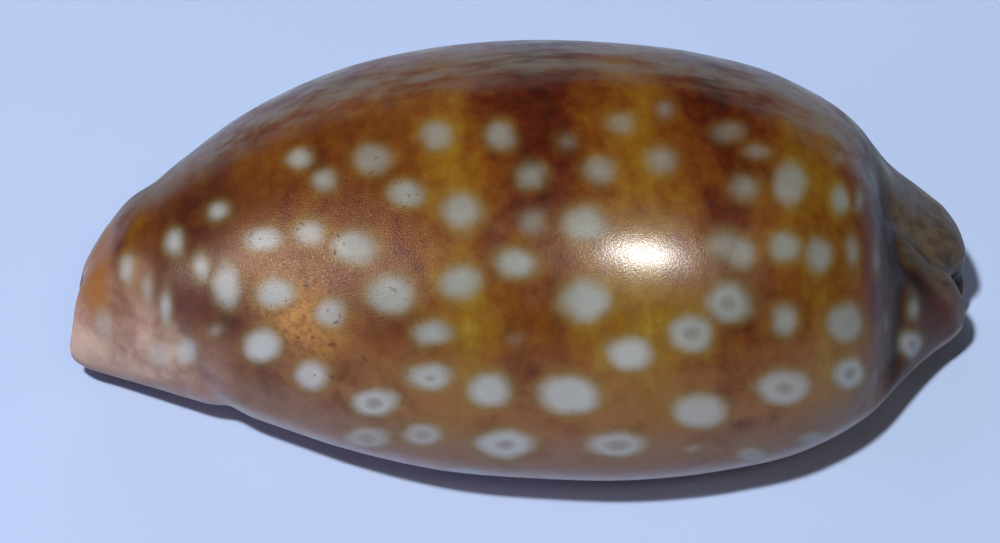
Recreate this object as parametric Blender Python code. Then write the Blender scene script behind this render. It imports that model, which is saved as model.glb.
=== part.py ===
"""Spotted cowrie shell lying on its base: one closed body rolled round a narrow toothed slit.

Points are made in millimetres and written in metres. +X runs to the broad rear end, +Y to
the outer lip, -Y to the inner lip, +Z up; z = 0 is the surface the shell lies on.
"""

import bmesh
import bpy
import numpy as np
from mathutils import Vector

MM = 0.001

LENGTH = 75.0  # tip to tip along X

# Sections from the tapered front end (0) to the rear end (1): half width on the inner lip
# side, half width on the outer lip side, top, height of the widest line, underside before it
# is flattened, sideways place of the body, sideways place of the slit
SECTIONS = (
    (0.00, 3.7, 5.0, 10.4, 4.6, 1.8, 0.6, 0.2),
    (0.04, 5.8, 6.9, 14.4, 5.8, 1.0, 1.2, 0.5),
    (0.10, 8.7, 8.2, 16.7, 7.2, 0.5, 1.5, 1.2),
    (0.20, 12.6, 12.6, 22.1, 8.5, 0.0, 1.2, 2.2),
    (0.30, 15.9, 15.9, 26.0, 9.2, -0.5, 0.4, 2.6),
    (0.40, 17.9, 17.8, 28.3, 9.6, -0.7, -0.5, 2.5),
    (0.50, 18.6, 18.5, 29.4, 9.8, -0.7, -1.2, 2.0),
    (0.60, 18.6, 18.6, 29.3, 9.8, -0.7, -1.8, 1.4),
    (0.70, 17.7, 18.0, 28.0, 9.6, -0.6, -2.0, 0.8),
    (0.80, 15.6, 16.1, 25.1, 9.1, -0.2, -1.9, 0.2),
    (0.87, 12.4, 13.3, 20.8, 8.4, 0.3, -1.4, -0.3),
    (0.92, 8.7, 10.8, 14.8, 7.4, 0.8, -0.7, -0.7),
    (0.96, 6.3, 8.9, 11.5, 6.6, 1.4, -0.1, -0.9),
    (1.00, 4.2, 6.3, 9.3, 5.4, 2.0, 0.2, -0.9),
)
NEAR, FAR, TOP, WIDEST, UNDER, BODY_Y, SLIT_Y = range(1, 8)

# Fullness of the outline across and up: above its widest line, below it, and in the hollow
ACROSS_ABOVE = 2.15
UP_ABOVE = 2.1
ACROSS_BELOW = 2.2
UP_BELOW = 2.8
INSIDE = 2.2

# Wall, lips and the slit between them
WALL_TOP = 1.8
WALL_SIDE = 3.4
LIP_HIGH = 4.2
LIP_ROUND = 0.9
LIP_SHOULDER = 1.9
LIP_WIDE = 2.4
SLIT_HALF = 1.15
SLIT_END_HALF = 1.3
HOLLOW_WIDEST = 0.35  # height of the hollow's widest line, as a share from its floor to its roof
CANAL_ROOF = 0.58  # share of the end's height that the canal reaches
CANAL_FLOOR = 0.35
CANAL_LONG = 0.16  # share of the length over which the hollow narrows to the canal
CANAL_SPARE = 0.5

# Teeth: ridges on both lips, left standing where the grooves are cut back
TEETH = 26
TEETH_FROM = 0.07
TEETH_TO = 0.95
TOOTH_STATIONS = ((0.0, 0.0), (0.40, 0.0), (0.70, 1.0))  # share of a tooth's step, groove depth
TEETH_FADE = 3  # teeth that grow to full size at each end of the row
GROOVE_OUTER_LIP = 0.95
GROOVE_INNER_LIP = 0.75
GROOVE_ON_BASE = 0.45
GROOVE_BACK = 0.6
GROOVE_UP = 0.8

# Both ends: how far the rim draws back behind the lobes' tips
END_LONG = 0.13
FRONT_LEAN = 0.19  # back per millimetre of height
FRONT_FAR_BACK = 0.7
REAR_LEAN = 0.10
REAR_NEAR_BACK = 0.8
LEAN_FROM = 5.0
LOBES_APART = 4.0
NOTCH_DEEP = 1.3
NOTCH_HALF = 1.3
FRONT_NOTCH_TOP = 6.5  # the front notch fades out at this height
FRONT_STATIONS = (0.0, 0.004, 0.010, 0.022, 0.040, 0.056)
REAR_STATIONS = (0.95, 0.962, 0.975, 0.985, 0.990, 0.996, 1.0)
RIM_KEPT = ((0.010, 0.69), (0.004, 0.44), (0.0, 0.18))  # distance in from the end, thickness kept

# Crease between the domed back and the flange at the rear end, and the small hollow in it
CREASE_X = 29.7
CREASE_MIDDLE_Y = -6.0
CREASE_BOW = 0.010
CREASE_HALF = 1.3
CREASE_DEEP = 1.5
CREASE_ABOVE = 7.0
CREASE_FADE = 3.0
CREASE_FAR_Y = 1.5  # where it fades out towards the outer lip side
CREASE_FAR_FADE = 4.0
HOLLOW_X = 30.9
HOLLOW_Y = -4.8
HOLLOW_HALF = 1.8
HOLLOW_DEEP = 0.9

# Shallow crease between the body and the callus at the front end, on the inner lip side
FRONT_CREASE_X = -30.2
FRONT_CREASE_Z = 15.3
FRONT_CREASE_SLOPE = 0.5
FRONT_CREASE_HALF = 1.3
FRONT_CREASE_DEEP = 0.5
FRONT_CREASE_FADE = 3.0

UPPER_STEPS = 6
LOWER_SHARES = (0.11, 0.25, 0.43, 0.64, 0.84)
UPPER_INNER_STEPS = 6
LOWER_INNER_SHARES = (0.3, 0.6, 0.85)

ENAMEL_COLOR = (0.19, 0.085, 0.035, 1.0)
ENAMEL_ROUGHNESS = 0.28


def along(t, column):
    """Value of one column of SECTIONS at t, smooth between the rows."""
    rows = np.array(SECTIONS)
    x = rows[:, 0]
    y = rows[:, column]
    slope = np.gradient(y, x)
    k = int(np.clip(np.searchsorted(x, t, side="right") - 1, 0, len(x) - 2))
    span = x[k + 1] - x[k]
    s = (t - x[k]) / span
    start = (2 * s**3 - 3 * s**2 + 1) * y[k] + (s**3 - 2 * s**2 + s) * span * slope[k]
    end = (3 * s**2 - 2 * s**3) * y[k + 1] + (s**3 - s**2) * span * slope[k + 1]
    return start + end


def ease(value):
    """Smooth step from 0 to 1."""
    value = min(max(value, 0.0), 1.0)
    return value * value * (3 - 2 * value)


def near_end(t, reach):
    """1 at either end, falling smoothly to 0 where t is reach away from it."""
    return ease(1 - min(t, 1 - t) / reach)


def lip_edge(t, side):
    """Distance from the body's middle line to the edge of one lip, counted towards that side."""
    half = SLIT_HALF + (SLIT_END_HALF - SLIT_HALF) * near_end(t, END_LONG)
    return side * (along(t, SLIT_Y) - along(t, BODY_Y)) + half


def outer_side(t, side, groove):
    """Outside points (y, z) from beside the crown down to the edge of one lip."""
    half = along(t, FAR if side > 0 else NEAR)
    top, widest, under = along(t, TOP), along(t, WIDEST), along(t, UNDER)
    body = along(t, BODY_Y)
    middle = side * (along(t, SLIT_Y) - body)
    edge = lip_edge(t, side)
    points = []
    for step in range(1, UPPER_STEPS + 1):
        turn = step / UPPER_STEPS * np.pi / 2
        y = half * np.sin(turn) ** (2 / ACROSS_ABOVE)
        z = widest + (top - widest) * max(np.cos(turn), 0) ** (2 / UP_ABOVE)
        points.append((y, z))

    def below(y):
        out = max(y - middle, 0) / (half - middle)
        return widest - (widest - under) * max(1 - out**ACROSS_BELOW, 0) ** (1 / UP_BELOW)

    for share in LOWER_SHARES:
        y = edge + LIP_WIDE + (half - edge - LIP_WIDE) * np.cos(share * np.pi / 2)
        points.append((y, below(y)))
    shoulder = edge + LIP_SHOULDER + 0.5 * GROOVE_BACK * groove
    points.append((shoulder, below(shoulder) + 0.1 * GROOVE_ON_BASE * groove))
    crest = edge + LIP_ROUND + GROOVE_BACK * groove
    points.append((crest, below(crest) + 0.12 + GROOVE_ON_BASE * groove))
    return [(body + side * y, max(z, 0.0)) for y, z in points]


def hollow(t):
    """Roof and floor of the hollow at t, running into the canals at both ends."""
    end = near_end(t, CANAL_LONG)
    top = along(t, TOP)
    base = max(along(t, UNDER), 0.0)
    roof = (top - WALL_TOP) * (1 - end) + end * (base + CANAL_ROOF * (top - base))
    floor = base + LIP_HIGH * (1 - end) + end * CANAL_FLOOR * (top - base)
    return roof, floor, base


def inner_side(t, side, groove):
    """Inside points (y, z) from beside the hollow's crown down to the edge of one lip."""
    end = near_end(t, CANAL_LONG)
    half = along(t, FAR if side > 0 else NEAR)
    body = along(t, BODY_Y)
    edge = lip_edge(t, side)
    roof, floor, base = hollow(t)
    wide = (half - WALL_SIDE) * (1 - end) + end * (edge + CANAL_SPARE)
    wide = max(wide, edge + CANAL_SPARE)
    widest = floor + HOLLOW_WIDEST * (roof - floor)
    points = []
    for step in range(1, UPPER_INNER_STEPS + 1):
        turn = step / UPPER_INNER_STEPS * np.pi / 2
        y = wide * np.sin(turn) ** (2 / INSIDE)
        z = widest + (roof - widest) * max(np.cos(turn), 0) ** (2 / INSIDE)
        points.append((y, z))
    for share in LOWER_INNER_SHARES:
        y = wide + (edge + 0.35 - wide) * share
        points.append((y, widest - (widest - floor) * np.sin(share * np.pi / 2)))
    cut = groove * (GROOVE_OUTER_LIP if side > 0 else GROOVE_INNER_LIP)
    drop = floor - base
    points.append((edge + 0.15 + 0.3 * cut, floor - 0.15 * drop))
    points.append((edge + cut, floor - 0.42 * drop))
    points.append((edge + cut, floor - 0.66 * drop))
    points.append((edge + 0.22 + cut, base + 0.55 + GROOVE_UP * groove))
    return [(body + side * y, z) for y, z in points]


def section(t, groove):
    """The outside and the inside of one C-shaped section, as equally long rows of (y, z)."""
    body = along(t, BODY_Y)
    near, far = outer_side(t, -1, groove), outer_side(t, 1, groove)
    outside = near[::-1] + [(body, along(t, TOP))] + far
    near, far = inner_side(t, -1, groove), inner_side(t, 1, groove)
    inside = near[::-1] + [(body, hollow(t)[0])] + far
    return np.array(outside), np.array(inside)


def drawn_back(t, y, z):
    """How far a point near an end lies behind the tip of its lobe."""
    slit = along(t, SLIT_Y)
    notch = NOTCH_DEEP * np.exp(-(((y - slit) / NOTCH_HALF) ** 2))
    height = max(z - LEAN_FROM, 0.0)
    if t < 0.5:
        notch *= ease((FRONT_NOTCH_TOP - z) / LEAN_FROM + 0.5)
        lobe = FRONT_LEAN * height + FRONT_FAR_BACK * ease((y - slit) / LOBES_APART + 0.5)
    else:
        lobe = REAR_LEAN * height + REAR_NEAR_BACK * ease((slit - y) / LOBES_APART + 0.5)
    return near_end(t, END_LONG) * (notch + lobe)


def crease(x, y, z):
    """Depth of the creases at both ends, and of the rear hollow, at a point of the outside."""
    line = CREASE_X - CREASE_BOW * (y - CREASE_MIDDLE_Y) ** 2
    rear = CREASE_DEEP * np.exp(-(((x - line) / CREASE_HALF) ** 2))
    rear *= ease((CREASE_FAR_Y - y) / CREASE_FAR_FADE + 0.5)
    reach = ((x - HOLLOW_X) ** 2 + (y - HOLLOW_Y) ** 2) / HOLLOW_HALF**2
    rear += HOLLOW_DEEP * np.exp(-reach)
    rear *= ease((z - CREASE_ABOVE) / CREASE_FADE + 0.5)
    line = FRONT_CREASE_X + FRONT_CREASE_SLOPE * (FRONT_CREASE_Z - z)
    front = FRONT_CREASE_DEEP * np.exp(-(((x - line) / FRONT_CREASE_HALF) ** 2))
    return rear + front * ease(-y / FRONT_CREASE_FADE)


def in_space(t, pairs, outside):
    """A section's points in space, with the ends drawn back and the crease pressed in."""
    inwards = np.array((along(t, BODY_Y), 0.5 * along(t, WIDEST)))
    points = []
    for y, z in pairs:
        x = (t - 0.5) * LENGTH
        x += drawn_back(t, y, z) * (1 if t < 0.5 else -1)
        if outside:
            way = inwards - (y, z)
            y, z = (y, z) + crease(x, y, z) * way / np.linalg.norm(way)
        points.append(Vector((x, y, z)) * MM)
    return points


def stations():
    """Places along the shell, each with how deep the groove between teeth is there."""
    places = [(t, 0.0) for t in FRONT_STATIONS]
    step = (TEETH_TO - TEETH_FROM) / TEETH
    for tooth in range(TEETH):
        fade = ease((tooth + 1) / TEETH_FADE) * ease((TEETH - tooth) / TEETH_FADE)
        for share, groove in TOOTH_STATIONS:
            places.append((TEETH_FROM + (tooth + share) * step, groove * fade))
    return places + [(t, 0.0) for t in REAR_STATIONS]


def shell_mesh():
    """The whole shell as one closed grid: stations along it, section points round it."""
    mesh = bmesh.new()
    rings = []
    for t, groove in stations():
        outside, inside = section(t, groove)
        kept = 1.0
        for reach, share in RIM_KEPT:
            if min(t, 1 - t) <= reach + 1e-9:
                kept = share
        middle = (outside + inside) / 2
        outside = middle + (outside - middle) * kept
        inside = middle + (inside - middle) * kept
        ring = in_space(t, outside, True) + in_space(t, inside, False)[::-1]
        rings.append([mesh.verts.new(point) for point in ring])
    count = len(rings[0])
    for before, after in zip(rings, rings[1:]):
        for k in range(count):
            n = (k + 1) % count
            mesh.faces.new((before[k], before[n], after[n], after[k]))
    for ring in (rings[0], rings[-1]):
        for k in range(count // 2 - 1):
            mesh.faces.new((ring[k], ring[k + 1], ring[-k - 2], ring[-k - 1]))
    bmesh.ops.triangulate(mesh, faces=mesh.faces[:])
    bmesh.ops.recalc_face_normals(mesh, faces=mesh.faces[:])
    return mesh


def centre(mesh):
    """Moves the mesh so that its box is centred on X and Y and stands on z = 0."""
    places = np.array([v.co for v in mesh.verts])
    middle = (places.min(axis=0) + places.max(axis=0)) / 2
    middle[2] = places[:, 2].min()
    bmesh.ops.translate(mesh, verts=mesh.verts[:], vec=-Vector(middle))


def enamel():
    material = bpy.data.materials.new("Spotted brown shell enamel")
    material.use_nodes = True
    surface = material.node_tree.nodes["Principled BSDF"]
    surface.inputs["Base Color"].default_value = ENAMEL_COLOR
    surface.inputs["Roughness"].default_value = ENAMEL_ROUGHNESS
    return material


def build():
    for existing in list(bpy.data.objects):
        bpy.data.objects.remove(existing, do_unlink=True)
    group = bpy.data.collections.new("Cowrie shell")
    bpy.context.scene.collection.children.link(group)
    mesh = shell_mesh()
    centre(mesh)
    data = bpy.data.meshes.new("cowrie_shell")
    mesh.to_mesh(data)
    mesh.free()
    for face in data.polygons:
        face.use_smooth = True
    data.materials.append(enamel())
    group.objects.link(bpy.data.objects.new("cowrie_shell", data))


build()
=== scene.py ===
"""Looks of the spotted cowrie shell: the fine shell surface, its spots and enamel, and the light.

Shapes are worked out in millimetres, in the same frame as the solid: +X to the broad rear
end, +Y to the outer lip, -Y to the inner lip, +Z up, the surface it lies on at z = 0.
"""

import math

import bpy
import numpy as np
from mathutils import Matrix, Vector
from mathutils.bvhtree import BVHTree


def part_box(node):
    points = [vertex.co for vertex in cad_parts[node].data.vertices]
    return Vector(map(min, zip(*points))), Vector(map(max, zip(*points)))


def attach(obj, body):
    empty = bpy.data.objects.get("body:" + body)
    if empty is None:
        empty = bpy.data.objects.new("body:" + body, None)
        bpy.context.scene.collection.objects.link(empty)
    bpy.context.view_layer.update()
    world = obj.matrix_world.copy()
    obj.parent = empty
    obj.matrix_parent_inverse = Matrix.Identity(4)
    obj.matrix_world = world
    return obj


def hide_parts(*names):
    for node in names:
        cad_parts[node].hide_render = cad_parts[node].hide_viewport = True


MM = 0.001

# The photograph's frame and the view it was taken from
PHOTO_WIDE = 1000
PHOTO_HIGH = 543
VIEW_ABOVE = 47.65  # degrees above level
VIEW_TURN = -2.99  # degrees from straight across the inner lip side, towards the front end
VIEW_FAR = 330.0  # millimetres from the shell
VIEW_AT = (0.0, 0.0, 12.0)
VIEW_AT_PX = (522.5, 261.8)  # where VIEW_AT lies in the photograph
PX_PER_MM = 12.22

# Sections from the tapered front end (0) to the rear end (1): half width on the inner lip
# side, half width on the outer lip side, top, height of the widest line, underside before it
# is flattened, sideways place of the body, sideways place of the slit
LENGTH = 75.0
SECTIONS = np.array((
    (0.00, 3.7, 5.0, 10.4, 4.6, 1.8, 0.6, 0.2),
    (0.04, 5.8, 6.9, 14.4, 5.8, 1.0, 1.2, 0.5),
    (0.10, 8.7, 8.2, 16.7, 7.2, 0.5, 1.5, 1.2),
    (0.20, 12.6, 12.6, 22.1, 8.5, 0.0, 1.2, 2.2),
    (0.30, 15.9, 15.9, 26.0, 9.2, -0.5, 0.4, 2.6),
    (0.40, 17.9, 17.8, 28.3, 9.6, -0.7, -0.5, 2.5),
    (0.50, 18.6, 18.5, 29.4, 9.8, -0.7, -1.2, 2.0),
    (0.60, 18.6, 18.6, 29.3, 9.8, -0.7, -1.8, 1.4),
    (0.70, 17.7, 18.0, 28.0, 9.6, -0.6, -2.0, 0.8),
    (0.80, 15.6, 16.1, 25.1, 9.1, -0.2, -1.9, 0.2),
    (0.87, 12.4, 13.3, 20.8, 8.4, 0.3, -1.4, -0.3),
    (0.92, 8.7, 10.8, 14.8, 7.4, 0.8, -0.7, -0.7),
    (0.96, 6.3, 8.9, 11.5, 6.6, 1.4, -0.1, -0.9),
    (1.00, 4.2, 6.3, 9.3, 5.4, 2.0, 0.2, -0.9),
))
NEAR, FAR, TOP, WIDEST, UNDER, BODY_Y, SLIT_Y = range(1, 8)

# Fullness of the outline across and up: above its widest line, below it, and in the hollow
ACROSS_ABOVE = 2.15
UP_ABOVE = 2.1
ACROSS_BELOW = 2.2
UP_BELOW = 2.8
INSIDE = 2.2

# Wall, lips and the slit between them, in millimetres
WALL_TOP = 1.8
WALL_SIDE = 3.4
LIP_HIGH = 4.2
LIP_TURN_OUT = 1.7  # how far out on the base the lip starts to turn in
LIP_TURN_UP = 1.5  # how far up inside the slit it has turned
SLIT_HALF = 1.15
SLIT_END_HALF = 1.3
CANAL_SPARE = 0.5  # how much wider than the slit the hollow stays in the canals
FLOOR_LIP = 0.5  # how far the hollow's floor stops short of the slit
LIP_FLARE = 3  # power of the flare at the top of the lip's wall
GROOVE_DIES = 0.7  # power with which a groove dies out up the lip's wall
WALL_FOOT_UP = 0.2  # the lip's wall starts this far above its turn,
WALL_FOOT_DOWN = 0.3  # or this far below the hollow's floor, whichever is lower
WALL_HEAD_DOWN = 0.15  # and ends this far below the floor

# Hollow and canals, as shares of the hollow's height, the shell's height and the shell's length
HOLLOW_WIDEST = 0.35
CANAL_ROOF = 0.58
CANAL_FLOOR = 0.35
CANAL_LONG = 0.16

# Teeth on both lips, from one share of the shell's length to another. A groove's place and half
# width are shares of the step between teeth, its depths are millimetres.
TEETH = 26
TEETH_FROM = 0.07
TEETH_TO = 0.95
GROOVE_AT = 0.70
GROOVE_HALF = 0.32
TEETH_FADE = 3  # teeth over which the rows die out
GROOVE_OUTER_LIP = 0.95
GROOVE_INNER_LIP = 0.75
GROOVE_ON_BASE = 0.5
GROOVE_SHALLOW = 0.5  # share of that depth on the flat of the base and inside the slit
GROOVE_REACH = 3.2  # how far out on the base a groove runs before it fades

# Both ends: how far points lie back from the tips of the lobes, in millimetres, and for a lean
# in millimetres for each one up
END_LONG = 0.13  # share of the shell's length
FRONT_LEAN = 0.19
FRONT_FAR_BACK = 0.7
REAR_LEAN = 0.10
REAR_NEAR_BACK = 0.8
LEAN_FROM = 5.0
LOBES_APART = 4.0
NOTCH_DEEP = 1.3
NOTCH_HALF = 1.3
FRONT_NOTCH_TOP = 6.5  # the front notch fades out at this height
RIM_LONG = 0.022  # share of the shell's length over which the wall thins to a round rim
RIM_LEFT = 0.18  # share of the wall that is left there

# Crease at the rear end, where the domed back meets the flange, and the dimple in it, in
# millimetres
CREASE_X = 29.7
CREASE_MIDDLE_Y = -6.0
CREASE_BOW = 0.010  # it lies nearer the front by this much times the square of the way sideways
CREASE_HALF = 1.3
CREASE_DEEP = 1.5
CREASE_ABOVE = 7.0
CREASE_FADE = 3.0
CREASE_FAR_Y = 1.5  # where it fades out towards the outer lip side
CREASE_FAR_FADE = 4.0
DIMPLE_X = 30.9
DIMPLE_Y = -4.8
DIMPLE_HALF = 1.8
DIMPLE_DEEP = 0.9
PRESSED_TOWARDS = 0.5  # a crease is pressed in towards this share of the widest line's height

# Shallow crease between the body and the callus at the front end, on the inner lip side, which
# slopes forwards as it goes up
FRONT_CREASE_X = -30.2
FRONT_CREASE_Z = 15.3
FRONT_CREASE_SLOPE = 0.5
FRONT_CREASE_HALF = 1.3
FRONT_CREASE_DEEP = 0.5
FRONT_CREASE_FADE = 3.0
FRONT_CREASE_TOP = 13.5  # it fades out below this height

# Points round a section, counted on one side, and stations along the shell
UPPER_POINTS = 60
LOWER_POINTS = 36
LIP_POINTS = 12
LIP_WALL_POINTS = 8
HOLLOW_POINTS = 10
LOWER_SPREAD = 0.9  # less than 1 puts more of the lower points towards the lip
STATIONS = 360
ROUND_INSIDE = 3.0  # how far round the section counts for every point inside

# Stations crowd at the rims and round the rear crease: how much, where, and how far along
EVEN_STEPS = 4001  # even steps along the shell over which that is added up
RIM_CROWD = 5.0
RIM_CROWD_LONG = 0.02
CREASE_CROWD = 0.8
CREASE_CROWD_AT = 0.915
CREASE_CROWD_LONG = 0.02

# Spots that show in the photograph: middle in its pixels, width and height there, how pale
# (1 is full), and how dark the eye in the middle is
SPOTS_PX = (
    (437, 135, 34, 28, 1.0, 0), (499, 135, 30, 26, 1.0, 0), (372, 158, 40, 30, 0.75, 0),
    (300, 159, 26, 20, 0.8, 0), (324, 179, 24, 20, 0.8, 0), (407, 192, 36, 28, 1.0, 0),
    (461, 211, 42, 38, 1.0, 0), (531, 176, 30, 26, 0.9, 0), (567, 142, 18, 16, 0.5, 0),
    (600, 168, 32, 28, 0.9, 0), (622, 124, 30, 22, 0.7, 0), (662, 160, 32, 28, 0.9, 0),
    (664, 110, 20, 18, 0.6, 0), (728, 132, 34, 22, 0.5, 0), (757, 152, 26, 16, 0.5, 0),
    (745, 187, 30, 26, 0.6, 0), (791, 182, 36, 44, 0.8, 0), (841, 199, 18, 28, 0.9, 0),
    (859, 201, 10, 20, 0.8, 0), (840, 158, 12, 10, 0.5, 0), (533, 222, 30, 26, 0.5, 0),
    (585, 222, 46, 36, 1.0, 0), (516, 264, 38, 30, 1.0, 0), (461, 282, 40, 36, 1.0, 0),
    (585, 300, 52, 44, 1.0, 0), (355, 247, 46, 34, 1.0, 0), (264, 240, 38, 24, 1.0, 0),
    (309, 233, 30, 26, 0.9, 0), (226, 286, 28, 44, 1.0, 0), (277, 293, 42, 32, 1.0, 0),
    (391, 294, 50, 40, 1.0, 0), (330, 314, 30, 28, 0.9, 0), (262, 346, 38, 34, 1.0, 0),
    (312, 376, 36, 30, 0.9, 0), (432, 333, 38, 26, 1.0, 0), (375, 403, 50, 30, 1.0, 0.6),
    (430, 378, 50, 28, 1.0, 0.3), (489, 391, 44, 36, 1.0, 0), (570, 395, 64, 42, 1.0, 0),
    (630, 353, 46, 36, 1.0, 0), (700, 412, 60, 36, 0.85, 0), (691, 334, 50, 38, 1.0, 0.3),
    (728, 302, 48, 40, 1.0, 0.4), (785, 320, 28, 30, 0.9, 0), (785, 246, 32, 30, 0.85, 0),
    (820, 255, 26, 36, 0.9, 0), (853, 252, 14, 32, 0.7, 0), (876, 258, 8, 30, 0.6, 0),
    (723, 245, 30, 28, 0.6, 0), (742, 252, 30, 32, 0.7, 0), (847, 324, 36, 40, 0.85, 0),
    (784, 388, 56, 36, 0.85, 0.1), (850, 374, 32, 34, 1.0, 0.5), (421, 435, 42, 22, 0.8, 0.8),
    (367, 438, 50, 20, 0.7, 0.8), (505, 445, 58, 28, 1.0, 0.2), (617, 445, 60, 26, 0.9, 0.8),
    (693, 449, 20, 8, 0.5, 0), (752, 455, 28, 12, 0.7, 0.5), (812, 438, 30, 14, 0.5, 0),
    (914, 308, 10, 22, 0.9, 0), (912, 345, 24, 28, 0.9, 0.6), (886, 321, 11, 20, 0.5, 0),
    (174, 243, 18, 26, 1.0, 0), (218, 212, 20, 18, 0.9, 0), (201, 267, 16, 24, 1.0, 0),
    (127, 268, 14, 30, 0.8, 0), (147, 290, 12, 30, 0.5, 0), (165, 308, 12, 36, 0.9, 0),
    (187, 352, 24, 30, 0.8, 0), (160, 355, 30, 30, 0.4, 0), (104, 325, 22, 36, 0.4, 0),
    (216, 331, 14, 12, 0.5, 0), (516, 340, 16, 12, 0.3, 0),
)
SPOT_FULL = 0.93  # share of the measured width at which a spot's soft edge is half pale
SPOT_LEAN_MOST = 0.45  # a spot seen more slantingly than this isn't stretched any further
EYE_WIDE = 0.5  # share of a spot that its eye takes, when full
EYE_SHRINK = 0.5  # millimetres that a faint eye is smaller
SPOT_REACH = 4.0  # millimetres round a spot where its edge is worked out
SPOT_NONE = 9.0  # millimetres to the nearest spot where none is near
PALE_BLEND = 3.0  # how sharply a point takes the paleness of its nearest spot
PALE_FROM, PALE_TO = -2.0, 8.0  # millimetres from its edge between which that counts
FAINTEST = 1e-6  # keeps the paleness finite where no spot is near

# Spots on the flank that the photograph doesn't show
FAR_SPOT_SEED = 7
FAR_SPOT_APART = 4.3  # millimetres between their middles
FAR_SPOT_SPREAD = (0.85, 1.2)  # how much that distance and one half axis vary
FAR_SPOT_HALF = (1.0, 1.75)  # millimetres
FAR_SPOT_LONG = (0.8, 1.15)  # the second half axis against the first
FAR_SPOT_PALE = (0.7, 1.0)
FAR_SPOT_TURN = (0.3, 0.2, 1.0)  # the first half axis lies across this direction
EYED_BELOW = 13.0  # lower than this many millimetres, some spots have an eye
EYED_SHARE = 0.7
EYED_DARK = 0.8
SPOTS_ABOVE = 2.0  # millimetres up, and from mid length: none on the base or at the very ends
SPOTS_WITHIN = 35.0
SEEN_FACING = 0.12  # surface that faces the camera less than this counts as not shown


def along(t, column):
    """Values of one column of SECTIONS at the places t, smooth between the rows."""
    x = SECTIONS[:, 0]
    y = SECTIONS[:, column]
    slope = np.gradient(y, x)
    k = np.clip(np.searchsorted(x, t, side="right") - 1, 0, len(x) - 2)
    span = x[k + 1] - x[k]
    s = (t - x[k]) / span
    start = (2 * s**3 - 3 * s**2 + 1) * y[k] + (s**3 - 2 * s**2 + s) * span * slope[k]
    end = (3 * s**2 - 2 * s**3) * y[k + 1] + (s**3 - s**2) * span * slope[k + 1]
    return start + end


def ease(value):
    """Smooth step from 0 to 1."""
    value = np.clip(value, 0.0, 1.0)
    return value * value * (3 - 2 * value)


def bump(value):
    """1 where value is 0, falling smoothly away on both sides."""
    return np.exp(-(value**2))


def near_end(t, reach):
    """1 at either end, falling smoothly to 0 where t is reach away from it."""
    return ease(1 - np.minimum(t, 1 - t) / reach)


def lip_edge(t, side):
    """Distance from the body's middle line to the edge of one lip, counted towards that side."""
    half = SLIT_HALF + (SLIT_END_HALF - SLIT_HALF) * near_end(t, END_LONG)
    return side * (along(t, SLIT_Y) - along(t, BODY_Y)) + half


def groove_at(t, shift):
    """Depth from 0 to 1 of the groove between two teeth at t; shift is in tooth steps."""
    step = (TEETH_TO - TEETH_FROM) / TEETH
    count = (t - TEETH_FROM) / step
    share = (count + shift) % 1.0
    gap = np.minimum(abs(share - GROOVE_AT), 1 - abs(share - GROOVE_AT))
    fade = ease((count + 1) / TEETH_FADE) * ease((TEETH - count) / TEETH_FADE)
    return ease(1 - gap / GROOVE_HALF) * fade


def outer_side(t, side, groove):
    """Outside points (y, z) from beside the crown to inside the lip, how far round the section
    each lies (0 crown, 1 widest line, 2 lip) and its share in the teeth."""
    half = along(t, FAR if side > 0 else NEAR)
    top, widest, under = along(t, TOP), along(t, WIDEST), along(t, UNDER)
    body = along(t, BODY_Y)
    middle = side * (along(t, SLIT_Y) - body)
    edge = lip_edge(t, side)
    turn = np.linspace(0, np.pi / 2, UPPER_POINTS + 1)[1:]
    upper_y = half * np.sin(turn) ** (2 / ACROSS_ABOVE)
    upper_z = widest + (top - widest) * np.clip(np.cos(turn), 0, 1) ** (2 / UP_ABOVE)

    def below(y):
        out = np.clip(y - middle, 0, None) / (half - middle)
        return widest - (widest - under) * np.clip(1 - out**ACROSS_BELOW, 0, None) ** (1 / UP_BELOW)

    lip_out = edge + LIP_TURN_OUT
    share = np.linspace(0, 1, LOWER_POINTS + 1)[1:]
    lower_y = lip_out + (half - lip_out) * np.cos(share**LOWER_SPREAD * np.pi / 2)
    reach = ease(1 - (lower_y - lip_out) / GROOVE_REACH)
    flat_z = np.maximum(below(lower_y), 0)
    lower_z = flat_z + reach * groove * GROOVE_ON_BASE * GROOVE_SHALLOW
    roll = np.linspace(0, np.pi / 2, LIP_POINTS + 1)[1:]
    cut = GROOVE_OUTER_LIP if side > 0 else GROOVE_INNER_LIP
    foot = max(float(below(lip_out)), 0.0)
    lip_y = edge + LIP_TURN_OUT * (1 - np.sin(roll)) + groove * cut * np.sin(roll)
    shallower = GROOVE_SHALLOW + (1 - GROOVE_SHALLOW) * np.cos(roll)
    raised = groove * GROOVE_ON_BASE * shallower
    lip_z = foot + LIP_TURN_UP * (1 - np.cos(roll)) + raised
    y = np.concatenate((upper_y, lower_y, lip_y))
    z = np.concatenate((upper_z, lower_z, lip_z))
    lip_share = np.concatenate((np.zeros(UPPER_POINTS), reach, np.ones(LIP_POINTS)))
    lip_at = 2 + np.linspace(0, 1, LIP_POINTS + 1)[1:]
    round_at = np.concatenate((turn / (np.pi / 2), 1 + share, lip_at))
    return body + side * y, z, round_at, lip_share


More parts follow.
